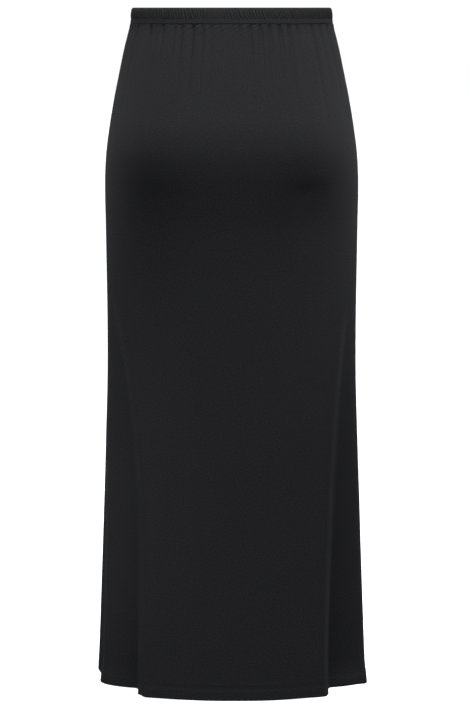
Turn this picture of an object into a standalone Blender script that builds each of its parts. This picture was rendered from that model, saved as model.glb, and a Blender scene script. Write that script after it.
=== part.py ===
"""Jersey maxi skirt with an elasticated waistband, filled out as it hangs from a waist.

The skirt is three sewn pieces: a shirred waistband and a back and a front panel, which meet
at two side seams. Each piece is a closed wall. Its outer face follows the skirt's outline at
each height, with the gathers under the waistband and the large folds that run to the hem.

Lengths are in metres and +Z is up. The origin is the middle of the waist, half-way up the
elastic. The skirt's back faces -Y and its left side, seen from behind, is at -X.
"""
import math
from collections import namedtuple

import bmesh
import bpy
import numpy as np

# Heights, as drops below the origin
TOP_EDGE = -0.0094
ELASTIC_EDGE = 0.0076
BAND_EDGE = 0.0148
HEM_EDGE = 1.021
HEM_TURN_UP = 0.023

# Walls and the gap that neighbours keep at a seam
CLOTH = 0.0016
TURNED_HEM = 0.0026
BAND = 0.0022
SEAM_GAP = 0.0003

# Shirring of the waistband
RIBS = 160
RIB_HEIGHT = 0.0010
RIB_UNEVENNESS = 0.35
RIB_RHYTHM = (2.3, 0.7)
RIB_ROUNDING = 0.0022

# Fineness of the walls
OUTLINE_POINTS = 1441
LEAST_COLUMNS = 4
COLUMN_PITCH = 0.0105
PANEL_DROPS = (
    BAND_EDGE + SEAM_GAP, 0.020, 0.028, 0.042, 0.062, 0.095, 0.140, 0.175, 0.205, 0.235,
    0.270, 0.310, 0.370, 0.450, 0.560, 0.690, 0.840,
    HEM_EDGE - HEM_TURN_UP, HEM_EDGE,
)
FOLD_CROWDING = 2.6
FOLD_CROWDING_WIDTH = 0.030
GATHERED_COLUMNS_TO = 0.110
FOLDED_COLUMNS_FROM = 0.400

# The skirt's outline at some drops: half its width, how far it reaches behind and in front
# of its middle, how far behind the middle the side seams run, and how square its back and
# its front are, where 2 is an ellipse
Section = namedtuple("Section", "drop half_width back front seam back_square front_square")
SECTIONS = (
    Section(TOP_EDGE, 0.1503, 0.1196, 0.1150, 0.027, 2.05, 2.05),
    Section(0.017, 0.1535, 0.1248, 0.1180, 0.027, 2.05, 2.05),
    Section(0.047, 0.1612, 0.1312, 0.1235, 0.028, 2.12, 2.08),
    Section(0.092, 0.1708, 0.1411, 0.1295, 0.028, 2.22, 2.10),
    Section(0.137, 0.1797, 0.1510, 0.1340, 0.028, 2.32, 2.12),
    Section(0.175, 0.1858, 0.1588, 0.1368, 0.028, 2.40, 2.14),
    Section(0.205, 0.1897, 0.1612, 0.1380, 0.028, 2.42, 2.15),
    Section(0.235, 0.1918, 0.1598, 0.1382, 0.028, 2.34, 2.15),
    Section(0.270, 0.1924, 0.1560, 0.1380, 0.028, 2.22, 2.15),
    Section(0.310, 0.1918, 0.1524, 0.1375, 0.028, 2.14, 2.15),
    Section(0.365, 0.1911, 0.1496, 0.1370, 0.028, 2.12, 2.16),
    Section(0.457, 0.1899, 0.1482, 0.1372, 0.028, 2.24, 2.20),
    Section(0.550, 0.1902, 0.1480, 0.1378, 0.029, 2.42, 2.26),
    Section(0.643, 0.1931, 0.1490, 0.1388, 0.030, 2.54, 2.32),
    Section(0.783, 0.1985, 0.1510, 0.1405, 0.032, 2.62, 2.38),
    Section(0.925, 0.2042, 0.1534, 0.1425, 0.035, 2.64, 2.42),
    Section(HEM_EDGE, 0.2082, 0.1552, 0.1440, 0.037, 2.64, 2.44),
)
# Share of that distance at which the right seam runs behind the middle
RIGHT_SEAM_SHARE = 0.55

# Large folds: the face and side they are on, the drop where they begin, where across the
# half-width they begin and reach the hem, the share of its depth that the cloth outside the
# fold has lost at the hem, how far the fold's crest stands out there, how far the cloth
# outside is tucked under the crest, how much wider the fold's slope is where it begins, how
# late it deepens, and how early it swings to its place at the hem
Fold = namedtuple(
    "Fold", "face side begins across_top across_hem recess crest tuck spread growth swing"
)
FOLDS = (
    Fold("back", 1, 0.420, 0.940, 0.712, 0.46, 0.003, 0.005, 0.080, 1.1, 1.7),
    Fold("back", -1, 0.400, 1.000, 0.688, 0.40, 0.003, 0.004, 0.115, 1.6, 3.0),
    Fold("front", 1, 0.480, 0.740, 0.560, 0.32, 0.004, 0.005, 0.100, 1.1, 2.0),
    Fold("front", -1, 0.560, 0.890, 0.790, 0.34, 0.003, 0.004, 0.080, 1.1, 2.0),
    Fold("front", -1, 0.500, 0.360, 0.300, 0.05, 0.003, 0.000, 0.160, 1.1, 2.0),
)
CREST_GROWTH = 0.6
FOLD_STEP = 0.018
CREST_WIDTH = 0.075
CREST_INSIDE_STEP = 0.040
TUCK_WIDTH = 0.10
TUCK_GROWTH = 3
FOLD_ROUNDING = 0.0062

# Gathers under the waistband: troughs, each at its place across the half-width, with its
# depth, half its width and its length
Gather = namedtuple("Gather", "face across depth width length")
GATHERS = (
    Gather("back", -0.900, 0.0019, 0.0053, 0.150),
    Gather("back", -0.775, 0.0024, 0.0046, 0.085),
    Gather("back", -0.715, 0.0012, 0.0036, 0.100),
    Gather("back", -0.655, 0.0023, 0.0043, 0.080),
    Gather("back", -0.545, 0.0014, 0.0038, 0.065),
    Gather("back", -0.475, 0.0023, 0.0041, 0.080),
    Gather("back", -0.370, 0.0024, 0.0041, 0.120),
    Gather("back", -0.275, 0.0019, 0.0041, 0.120),
    Gather("back", -0.195, 0.0014, 0.0038, 0.085),
    Gather("back", -0.110, 0.0008, 0.0036, 0.050),
    Gather("back", 0.080, 0.0018, 0.0041, 0.100),
    Gather("back", 0.175, 0.0023, 0.0041, 0.150),
    Gather("back", 0.275, 0.0025, 0.0043, 0.120),
    Gather("back", 0.362, 0.0025, 0.0041, 0.145),
    Gather("back", 0.465, 0.0030, 0.0043, 0.160),
    Gather("back", 0.548, 0.0030, 0.0043, 0.150),
    Gather("back", 0.630, 0.0025, 0.0046, 0.105),
    Gather("back", 0.705, 0.0012, 0.0038, 0.070),
    Gather("back", 0.772, 0.0032, 0.0050, 0.170),
    Gather("back", 0.850, 0.0024, 0.0048, 0.120),
    Gather("back", 0.925, 0.0023, 0.0055, 0.150),
    Gather("front", -0.900, 0.0014, 0.0067, 0.090),
    Gather("front", -0.790, 0.0012, 0.0062, 0.070),
    Gather("front", -0.690, 0.0016, 0.0055, 0.105),
    Gather("front", -0.560, 0.0013, 0.0053, 0.060),
    Gather("front", -0.455, 0.0016, 0.0053, 0.085),
    Gather("front", -0.330, 0.0012, 0.0050, 0.050),
    Gather("front", -0.235, 0.0015, 0.0050, 0.075),
    Gather("front", -0.110, 0.0013, 0.0050, 0.060),
    Gather("front", 0.055, 0.0014, 0.0053, 0.090),
    Gather("front", 0.165, 0.0011, 0.0048, 0.045),
    Gather("front", 0.290, 0.0016, 0.0053, 0.095),
    Gather("front", 0.420, 0.0013, 0.0053, 0.065),
    Gather("front", 0.545, 0.0016, 0.0053, 0.100),
    Gather("front", 0.680, 0.0013, 0.0058, 0.055),
    Gather("front", 0.810, 0.0016, 0.0062, 0.085),
)
GATHER_SWELL = 0.35
GATHER_FADE = 1.3
GATHER_PINNED = 0.90
GATHER_OPENING = 0.0060

# Long soft troughs down the panels: where across the half-width they begin and end, the
# drops where they begin, are deepest and end, their depth and half their width
Crease = namedtuple("Crease", "face across_top across_low begins deepest ends depth width")
CREASES = (
    Crease("back", -0.60, -0.55, 0.232, 0.268, 0.400, 0.0030, 0.028),
    Crease("back", 0.65, 0.60, 0.232, 0.268, 0.400, 0.0042, 0.028),
    Crease("back", -0.34, -0.37, 0.400, 0.560, 0.760, 0.0013, 0.016),
    Crease("back", -0.14, -0.12, 0.480, 0.680, 0.900, 0.0007, 0.020),
    Crease("back", 0.30, 0.27, 0.350, 0.560, 0.800, 0.0008, 0.018),
    Crease("back", 0.55, 0.52, 0.560, 0.800, 1.100, 0.0009, 0.014),
    Crease("front", -0.62, -0.55, 0.180, 0.360, 0.620, 0.0010, 0.018),
    Crease("front", 0.12, 0.10, 0.300, 0.560, 0.860, 0.0008, 0.020),
    Crease("front", 0.40, 0.34, 0.220, 0.380, 0.640, 0.0009, 0.017),
)

# Dips along the side seams, where the pull of the stitches draws the cloth in
SeamDip = namedtuple("SeamDip", "side begins depth width")
SEAM_DIPS = (
    SeamDip(-1, 0.620, 0.0066, 0.016),
    SeamDip(1, 0.740, 0.0020, 0.010),
)

# Parts of the hem that hang higher than the rest, or lower where the lift is negative, and
# how far they flare out
HemLift = namedtuple("HemLift", "face across lift flare width")
HEM_LIFTS = (
    HemLift("back", 0.000, -0.0014, 0.0004, 0.085),
    HemLift("back", 0.880, -0.0022, 0.0022, 0.060),
    HemLift("back", 0.995, -0.0044, 0.0006, 0.038),
    HemLift("back", -0.672, 0.0028, 0.0000, 0.009),
    HemLift("back", 0.700, 0.0020, 0.0000, 0.009),
    HemLift("back", -0.860, 0.0000, 0.0024, 0.045),
    HemLift("front", -0.985, 0.0110, 0.0000, 0.046),
    HemLift("front", 0.550, 0.0025, 0.0000, 0.007),
    HemLift("front", -0.300, -0.0015, 0.0010, 0.090),
)
HEM_LIFT_HEIGHT = 0.060

# Rings of the waistband: drop, how far the cloth stands out from the waist's outline, and
# the share of the ribs' height there
BandRing = namedtuple("BandRing", "drop stand_out ribs")
BAND_RINGS = (
    BandRing(TOP_EDGE, -0.0008, 0.30),
    BandRing(TOP_EDGE + RIB_ROUNDING, 0.0000, 1.00),
    BandRing(ELASTIC_EDGE - RIB_ROUNDING, 0.0002, 1.00),
    BandRing(ELASTIC_EDGE, -0.0004, 0.30),
    BandRing(ELASTIC_EDGE + RIB_ROUNDING, 0.0001, 0.00),
    BandRing(BAND_EDGE, 0.0001, 0.00),
)

Finish = namedtuple("Finish", "red green blue roughness")
JERSEY = Finish(0.0164, 0.0165, 0.0177, 0.85)
SHIRRED_JERSEY = Finish(0.0158, 0.0159, 0.0163, 0.88)


def curve_through(places, values, place):
    """Value at a place on the smooth curve through a table's values."""
    slopes = np.gradient(values, places)
    step = int(np.clip(np.searchsorted(places, place) - 1, 0, len(places) - 2))
    gap = places[step + 1] - places[step]
    part = (place - places[step]) / gap
    rise = values[step + 1] - values[step]
    bend = 3 * part**2 - 2 * part**3
    start_pull = part * (1 - part) ** 2 * slopes[step] * gap
    end_pull = part**2 * (part - 1) * slopes[step + 1] * gap
    return values[step] + bend * rise + start_pull + end_pull


def section_at(drop):
    """The skirt's section at any drop, read from the table."""
    columns = np.array(SECTIONS).T
    return Section(*(curve_through(columns[0], column, drop) for column in columns))


def smooth_step(value):
    """Rises smoothly from 0 to 1 as the value does."""
    part = np.clip(value, 0.0, 1.0)
    return part * part * (3 - 2 * part)


def fold_reach(fold, drop):
    """Shares of its size and of its crest that a fold has at a drop, and its place there."""
    down = np.clip((drop - fold.begins) / (HEM_EDGE - fold.begins), 0.0, 1.0)
    left = (fold.across_top - fold.across_hem) * (1 - down) ** fold.swing
    return down**fold.growth, down**CREST_GROWTH, fold.side * (fold.across_hem + left)


def gather_reach(gather, drop):
    """Share of its full depth that a gather has at a drop."""
    below = drop - BAND_EDGE
    left = np.clip(1 - below / gather.length, 0.0, 1.0)
    pinned = GATHER_PINNED * math.exp(-max(below, 0.0) / GATHER_OPENING)
    return left**GATHER_FADE * (1 - pinned)


def crease_reach(crease, drop):
    """Share of its full depth that a crease has at a drop, and its place across there."""
    coming = smooth_step((drop - crease.begins) / (crease.deepest - crease.begins))
    going = smooth_step((crease.ends - drop) / (crease.ends - crease.deepest))
    part = np.clip((drop - crease.begins) / (crease.ends - crease.begins), 0.0, 1.0)
    across = crease.across_top + (crease.across_low - crease.across_top) * part
    return coming * going, across


def hump(distance, width):
    """A soft round hump, 1 at its middle."""
    return np.exp(-((distance / width) ** 2))


class Outline:
    """The skirt's outer outline at one drop, from the right side seam round the front."""

    def __init__(self, drop, with_gathers=True):
        self.drop = drop
        self.section = section_at(drop)
        self.seam_turn = self.turn_behind(self.section.seam)
        first = -self.turn_behind(RIGHT_SEAM_SHARE * self.section.seam)
        self.turn = np.linspace(first, first + 2 * math.pi, OUTLINE_POINTS)
        self.behind = np.sin(self.turn) < 0
        self.lay_plain_curve()
        self.lay_folds()
        self.soften()
        self.measure()
        if with_gathers:
            self.press(self.gather_depths() + self.crease_depths() + self.seam_dip_depths())
            self.measure()
        self.lift_hem()

    def turn_behind(self, distance):
        """Turn from the middle to a point of the back that lies a distance behind it."""
        return math.asin((distance / self.section.back) ** (self.section.back_square / 2))

    def lay_plain_curve(self):
        """Lays the smooth curve that the section's sizes give."""
        cosine, sine = np.cos(self.turn), np.sin(self.turn)
        square = np.where(
            self.behind, self.section.back_square, self.section.front_square
        )
        depth = np.where(self.behind, self.section.back, self.section.front)
        self.x = self.section.half_width * np.sign(cosine) * np.abs(cosine) ** (2 / square)
        self.y = depth * np.sign(sine) * np.abs(sine) ** (2 / square)

    def on_face(self, face):
        """The points on one face."""
        return self.behind if face == "back" else ~self.behind

    def lay_folds(self):
        """Draws the cloth outside each large fold in, and pushes the fold's crest out."""
        share = self.x / self.section.half_width
        outward = np.where(self.behind, -1.0, 1.0)
        kept = np.ones_like(self.y)
        crest = np.zeros_like(self.y)
        tuck = np.zeros_like(self.x)
        for fold in FOLDS:
            reach, crest_reach, across = fold_reach(fold, self.drop)
            beyond = (share - across) * fold.side
            face = self.on_face(fold.face)
            stepped = smooth_step(beyond / (FOLD_STEP + fold.spread * (1 - reach)) + 0.5)
            kept -= np.where(face, fold.recess * reach * stepped, 0.0)
            rounding = hump(beyond + CREST_INSIDE_STEP, CREST_WIDTH)
            crest += np.where(face, fold.crest * crest_reach * rounding, 0.0)
            tucked = fold.side * fold.tuck * reach**TUCK_GROWTH * hump(beyond, TUCK_WIDTH)
            tuck += np.where(face, stepped * tucked, 0.0)
        self.y = self.y * kept + outward * crest
        self.x = self.x - tuck

    def soften(self):
        """Spaces the points evenly and rounds the folds' corners along the cloth."""
        self.measure()
        even = np.linspace(0.0, self.way[-1], OUTLINE_POINTS)
        self.x, self.y, self.turn = (
            np.interp(even, self.way, values) for values in (self.x, self.y, self.turn)
        )
        self.behind = np.sin(self.turn) < 0
        step = even[1]
        near = int(3 * FOLD_ROUNDING / step)
        weights = hump(np.arange(-near, near + 1) * step, FOLD_ROUNDING * math.sqrt(2))
        weights /= weights.sum()
        for values in (self.x, self.y):
            ring = np.concatenate([values[-near - 1 : -1], values, values[1 : near + 1]])
            values[:] = np.convolve(ring, weights, mode="valid")

    def measure(self):
        """Measures the way round and the outward direction at each point."""
        step = np.hypot(np.diff(self.x), np.diff(self.y))
        self.way = np.concatenate([[0.0], np.cumsum(step)])
        along_x = np.gradient(self.x, self.way)
        along_y = np.gradient(self.y, self.way)
        along_x[0] = along_x[-1] = (along_x[0] + along_x[-1]) / 2
        along_y[0] = along_y[-1] = (along_y[0] + along_y[-1]) / 2
        size = np.hypot(along_x, along_y)
        self.out_x, self.out_y = along_y / size, -along_x / size

    def way_at_turn(self, turn):
        """Way round to a turn about the middle."""
        return float(np.interp(turn, self.turn, self.way))

    def way_across(self, face, across):
        """Way round to a place across a face, given as a share of the half-width."""
        points = np.flatnonzero(self.on_face(face))
        order = points[np.argsort(self.x[points])]
        x = across * self.section.half_width
        return float(np.interp(x, self.x[order], self.way[order]))

    def seam_way(self, side):
        """Way round to a side seam, where the right seam is also the outline's start."""
        return self.way_at_turn(math.pi + self.seam_turn) if side < 0 else 0.0

    def gather_depths(self):
        """How far the gathers draw each point in, with a soft swell on both sides."""
        depth = np.zeros_like(self.x)
        for gather in GATHERS:
            reach = gather_reach(gather, self.drop)
            if reach > 0:
                distance = self.way - self.way_across(gather.face, gather.across)
                trough = hump(distance, gather.width)
                swell = hump(distance, 2 * gather.width) - trough
                depth += gather.depth * reach * (trough - GATHER_SWELL * swell)
        return depth

    def crease_depths(self):
        """How far the long soft creases draw each point in."""
        depth = np.zeros_like(self.x)
        for crease in CREASES:
            reach, across = crease_reach(crease, self.drop)
            if reach > 0:
                place = self.way_across(crease.face, across)
                depth += crease.depth * reach * hump(self.way - place, crease.width)
        return depth

    def seam_dip_depths(self):
        """How far the side seams draw each point in."""
        depth = np.zeros_like(self.x)
        for dip in SEAM_DIPS:
            reach = smooth_step((self.drop - dip.begins) / (HEM_EDGE - dip.begins) * 2)
            distance = np.abs(self.way - self.seam_way(dip.side))
            distance = np.minimum(distance, self.way[-1] - distance)
            depth += dip.depth * reach * hump(distance, dip.width)
        return depth

    def lift_hem(self):
        """Raises the hem's higher parts, and lets its flared parts stand out."""
        self.lift = np.zeros_like(self.x)
        flare = np.zeros_like(self.x)
        reach = smooth_step((self.drop - HEM_EDGE) / HEM_LIFT_HEIGHT + 1)
        for part in HEM_LIFTS:
            distance = np.abs(self.way - self.way_across(part.face, part.across))
            distance = np.minimum(distance, self.way[-1] - distance)
            near = np.exp(-((distance / part.width) ** 4))
            self.lift += part.lift * reach * near
            flare += part.flare * reach**3 * near
        self.press(-flare)

    def press(self, depth):
        """Moves each point in by its depth."""
        self.x = self.x - self.out_x * depth
        self.y = self.y - self.out_y * depth

    def point(self, way, stand_out=0.0):
        """The point at a way round, moved out from the outline."""
        x, y, out_x, out_y, lift = (
            float(np.interp(way, self.way, values))
            for values in (self.x, self.y, self.out_x, self.out_y, self.lift)
        )
        return (x + out_x * stand_out, y + out_y * stand_out, lift - self.drop)


def gathered_columns(outline, face, start, end, counts):
    """Ways round to a panel's columns where they follow the gathers."""
    centres = [outline.way_across(face, g.across) for g in GATHERS if g.face == face]
    knots = [start, *sorted(centres), end]
    if counts is None:
        counts = np.maximum(LEAST_COLUMNS, np.round(np.diff(knots) / COLUMN_PITCH)).astype(int)
    spans = zip(knots, knots[1:], counts)
    ways = [np.linspace(low, high, count, endpoint=False) for low, high, count in spans]
    return np.concatenate([*ways, [end]]), counts


def folded_columns(outline, face, start, end, columns):
    """Ways round to a panel's columns where they crowd at the large folds."""
    way = np.linspace(start, end, OUTLINE_POINTS)
    crowding = np.ones_like(way)
    for fold in FOLDS:
        if fold.face == face:
            reach, _, across = fold_reach(fold, outline.drop)
            centre = outline.way_across(face, across)
            crowding += FOLD_CROWDING * reach * hump(way - centre, FOLD_CROWDING_WIDTH)
    total = np.concatenate([[0.0], np.cumsum((crowding[1:] + crowding[:-1]) / 2)])
    return np.interp(np.linspace(0, total[-1], columns), total, way)


def panel_rows(face):
    """Outer and inner rows of a panel's points, from its top edge to its hem."""
    outer, inner, counts = [], [], None
    for drop in PANEL_DROPS:
        outline = Outline(drop)
        left_seam = outline.seam_way(-1)
        if face == "front":
            start, end = SEAM_GAP / 2, left_seam - SEAM_GAP / 2
        else:
            start, end = left_seam + SEAM_GAP / 2, outline.way[-1] - SEAM_GAP / 2
        ways, counts = gathered_columns(outline, face, start, end, counts)
        folded = folded_columns(outline, face, start, end, len(ways))
        span = FOLDED_COLUMNS_FROM - GATHERED_COLUMNS_TO
        ways += (folded - ways) * smooth_step((drop - GATHERED_COLUMNS_TO) / span)
        wall = TURNED_HEM if drop >= HEM_EDGE - HEM_TURN_UP else CLOTH
        outer.append([outline.point(way) for way in ways])
        inner.append([outline.point(way, -wall) for way in ways])
    return outer, inner


def band_rows():
    """Outer and inner rings of the waistband's points, from its top edge down."""
    columns = 2 * RIBS
    outer = []
    for ring in BAND_RINGS:
        outline = Outline(ring.drop, with_gathers=False)
        row = []
        for column in range(columns):
            rib, groove = divmod(column, 2)
            swing = math.sin(RIB_RHYTHM[0] * rib) * math.sin(RIB_RHYTHM[1] * rib)
            uneven = 1 + RIB_UNEVENNESS * swing
            height = 0.0 if groove else RIB_HEIGHT * ring.ribs * uneven
            way = outline.way[-1] * column / columns
            row.append(outline.point(way, ring.stand_out + height))
        outer.append(row)
    inner = []
    for ring in (BAND_RINGS[0], BAND_RINGS[-1]):
        outline = Outline(ring.drop, with_gathers=False)
        ways = outline.way[-1] * np.arange(columns) / columns
        inner.append([outline.point(way, -BAND) for way in ways])
    return outer, inner


def wall_mesh(name, outer, inner, closed):
    """Closed wall between outer and inner rows, open or closed round its columns."""
    built = bmesh.new()
    outer_verts = [[built.verts.new(point) for point in row] for row in outer]
    inner_verts = [[built.verts.new(point) for point in row] for row in inner]
    columns = len(outer[0])
    loop = outer_verts + inner_verts[::-1]
    loop.append(outer_verts[0])
    for row, below in zip(loop, loop[1:]):
        for column in range(columns if closed else columns - 1):
            beside = (column + 1) % columns
            built.faces.new((row[column], below[column], below[beside], row[beside]))
    if not closed:
        for column in (0, columns - 1):
            for row in range(len(outer) - 1):
                built.faces.new(
                    (
                        outer_verts[row][column],
                        inner_verts[row][column],
                        inner_verts[row + 1][column],
                        outer_verts[row + 1][column],
                    )
                )
    bmesh.ops.recalc_face_normals(built, faces=built.faces)
    mesh = bpy.data.meshes.new(name)
    built.to_mesh(mesh)
    built.free()
    mesh.shade_smooth()
    return mesh


def material(name, finish):
    """A plain cloth finish."""
    made = bpy.data.materials.new(name)
    made.use_nodes = True
    shader = made.node_tree.nodes["Principled BSDF"]
    shader.inputs["Base Color"].default_value = (finish.red, finish.green, finish.blue, 1)
    shader.inputs["Roughness"].default_value = finish.roughness
    shader.inputs["Metallic"].default_value = 0.0
    return made


def place(name, mesh, finish):
    """Puts a piece in the scene."""
    mesh.materials.append(finish)
    piece = bpy.data.objects.new(name, mesh)
    bpy.context.scene.collection.objects.link(piece)
    return piece


def main():
    """Builds the waistband and the two panels."""
    for leftover in list(bpy.data.objects):
        bpy.data.objects.remove(leftover, do_unlink=True)
    jersey = material("jersey", JERSEY)
    shirred = material("shirred_jersey", SHIRRED_JERSEY)
    place("waistband", wall_mesh("waistband", *band_rows(), closed=True), shirred)
    for face in ("back", "front"):
        name = face + "_panel"
        place(name, wall_mesh(name, *panel_rows(face), closed=False), jersey)


main()
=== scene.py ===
"""The looks of a near-black jersey maxi skirt, filled out as it hangs from a waist.

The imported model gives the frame: a waistband and a back and a front panel. Each of the three
is replaced by a thin cloth piece on the same form, with the ribs of the shirred elastic, the
gathers, folds and puckers of the panels, their turned hem and side seams. Rows of stitches lie
on the cloth. Lengths are in metres, +Z is up, and the skirt's back faces -Y, to the camera.
"""
from __future__ import annotations

import logging
import math
from dataclasses import astuple, dataclass, field
from enum import Enum
from typing import Sequence

import bpy
import numpy as np
from bpy.types import ID, Material, Node, NodeSocket, Object, ShaderNodeTree
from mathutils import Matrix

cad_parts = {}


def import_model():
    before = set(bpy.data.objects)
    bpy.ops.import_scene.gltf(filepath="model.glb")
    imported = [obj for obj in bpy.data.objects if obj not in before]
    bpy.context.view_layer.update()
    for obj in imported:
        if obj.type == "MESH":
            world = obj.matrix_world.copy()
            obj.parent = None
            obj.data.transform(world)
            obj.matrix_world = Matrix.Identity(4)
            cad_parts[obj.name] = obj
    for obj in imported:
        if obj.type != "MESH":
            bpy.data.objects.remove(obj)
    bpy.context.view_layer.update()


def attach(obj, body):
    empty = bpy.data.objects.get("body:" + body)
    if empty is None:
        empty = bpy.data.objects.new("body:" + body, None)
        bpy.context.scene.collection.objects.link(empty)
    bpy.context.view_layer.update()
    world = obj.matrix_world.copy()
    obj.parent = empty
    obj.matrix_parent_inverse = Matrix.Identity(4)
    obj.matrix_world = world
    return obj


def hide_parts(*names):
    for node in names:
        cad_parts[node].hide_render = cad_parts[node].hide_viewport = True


LOG = logging.getLogger("skirt")
Array = np.ndarray
Inputs = dict[str | int, object]
Triple = tuple[float, float, float]

TOP_EDGE = -0.0094
ELASTIC_EDGE = 0.0076
BAND_EDGE = 0.0148
HEM_EDGE = 1.021
HEM_TURN_UP = 0.023
HEM_STITCHES = (1.0006, 1.0046)
HEM_GROOVE = 0.00030
HEM_GROOVE_WIDTH = 0.0010
HEM_THICKER = 0.00018
HEM_THICKER_OVER = 0.003
HEM_RIDGE = 0.00016
HEM_RIDGE_ABOVE = 0.0046
HEM_RIDGE_WIDTH = 0.0015
SEAM_RIPPLES = (0.0137, 0.0191, 0.0263)
SEAM_RIPPLE_START = 1.7
SEAM_RIPPLE_LEAST = 0.25
SEAM_RIPPLE_FADE = 0.009
SEAM_SUNK = 0.0004
SEAM_SUNK_WIDTH = 0.0018
SEAM_GAP = 0.0003
OUTLINE_POINTS = 1441
SPACING_POINTS = 2001
CLOTH_ANGLE = 60.0
THREAD_ANGLE = 80.0
FOLD_STEP = 0.018
CREST_WIDTH = 0.075
CREST_INSIDE_STEP = 0.040
# Painted highlight: a paler line painted along each fold's crest, standing in for light caught there.
HIGHLIGHT_INSIDE_STEP = 0.018
HIGHLIGHT_WIDTH = 0.018
HIGHLIGHT_RISE = 0.060
TUCK_WIDTH = 0.10
FOLD_ROUNDING = 0.0062
RIGHT_SEAM_SHARE = 0.55
CREST_GROWTH = 0.6
GATHER_PINNED = 0.90
GATHER_OPENING = 0.0075
GATHER_FADE = 1.3
GATHER_SWELL = 0.35
HEM_LIFT_HEIGHT = 0.060
LOOP_SLANT = 0.55
LOOP_ROUNDNESS = 0.6
# Painted shade: the knit's tone is darkest in the gaps between loops and lighter on the loops' tops.
GAP_SHADE_TONE = 0.86
LOOP_TOP_LIGHTENING = 0.28
WHITE = (1.0, 1.0, 1.0, 1.0)


class Face(Enum):
    """The two faces of the skirt, one for each panel."""

    BACK = "back"
    FRONT = "front"


class Side(Enum):
    """The two sides, as seen from behind the skirt."""

    LEFT = -1
    RIGHT = 1


BACK, FRONT = Face
LEFT, RIGHT = Side


@dataclass(frozen=True)
class Section:
    """The skirt's outline at one drop below the origin."""

    drop: float
    half_width: float
    back: float
    front: float
    seam: float
    back_square: float
    front_square: float


@dataclass(frozen=True)
class Fold:
    """A large fold that deepens to the hem, where the cloth outside it falls back.

    Begins is a drop, and across, recess and spread are shares of the skirt's half-width or depth.
    Growth and swing say how late the fold deepens, and how early it moves to its place at the
    hem. Painted highlight is how much paler the cloth's colour is painted along the crest, a painted
    highlight standing in for light caught there.
    """

    face: Face
    side: Side
    begins: float
    across_top: float
    across_hem: float
    recess: float
    crest: float
    tuck: float
    spread: float
    growth: float
    swing: float
    painted_highlight: float

    def _down(self, drop: float) -> float:
        """How far a drop is from the fold's beginning to the hem, as a share."""
        return float(np.clip((drop - self.begins) / (HEM_EDGE - self.begins), 0.0, 1.0))

    def reach(self, drop: float) -> float:
        """Share of its full size that the fold has at a drop."""
        return self._down(drop) ** self.growth

    def crest_reach(self, drop: float) -> float:
        """Share of its full height that the fold's crest has at a drop."""
        return self._down(drop) ** CREST_GROWTH

    def across(self, drop: float) -> float:
        """Place of the fold across the half-width at a drop."""
        left = (self.across_top - self.across_hem) * (1 - self._down(drop)) ** self.swing
        return self.side.value * (self.across_hem + left)


@dataclass(frozen=True)
class Gather:
    """A trough that the waistband's seam presses into a panel."""

    face: Face
    across: float
    depth: float
    width: float
    length: float

    def reach(self, drop: float) -> float:
        """Share of its full depth that the gather has at a drop.

        Args:
            drop: How far below the origin.

        Returns:
            The share.
        """
        below = drop - BAND_EDGE
        left = np.clip(1 - below / self.length, 0.0, 1.0)
        pinned = GATHER_PINNED * math.exp(-max(below, 0.0) / GATHER_OPENING)
        return float(left**GATHER_FADE * (1 - pinned))


@dataclass(frozen=True)
class Crease:
    """A long soft trough, or a ridge where its depth is negative, down part of a panel."""

    face: Face
    across_top: float
    across_low: float
    begins: float
    deepest: float
    ends: float
    depth: float
    width: float

    def reach(self, drop: float) -> float:
        """Share of its full depth that the crease has at a drop.

        Args:
            drop: How far below the origin.

        Returns:
            The share.
        """
        coming = smooth_step((drop - self.begins) / (self.deepest - self.begins))
        going = smooth_step((self.ends - drop) / (self.ends - self.deepest))
        return float(coming * going)

    def across(self, drop: float) -> float:
        """Place of the crease across the half-width at a drop."""
        part = np.clip((drop - self.begins) / (self.ends - self.begins), 0.0, 1.0)
        return float(self.across_top + (self.across_low - self.across_top) * part)


@dataclass(frozen=True)
class SeamDip:
    """A dip along a side seam, where the pull of the stitches draws the cloth in."""

    side: Side
    begins: float
    depth: float
    width: float
    puckers: float

    def reach(self, drop: float) -> float:
        """Share of its full depth that the dip has at a drop."""
        return float(smooth_step((drop - self.begins) / (HEM_EDGE - self.begins) * 2))


@dataclass(frozen=True)
class HemLift:
    """Part of the hem that hangs higher than the rest, or lower where its lift is negative."""

    face: Face
    across: float
    lift: float
    flare: float
    width: float

    def reach(self, drop: float) -> float:
        """Share of its full lift that the cloth has at a drop."""
        return float(smooth_step((drop - HEM_EDGE) / HEM_LIFT_HEIGHT + 1))


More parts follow.
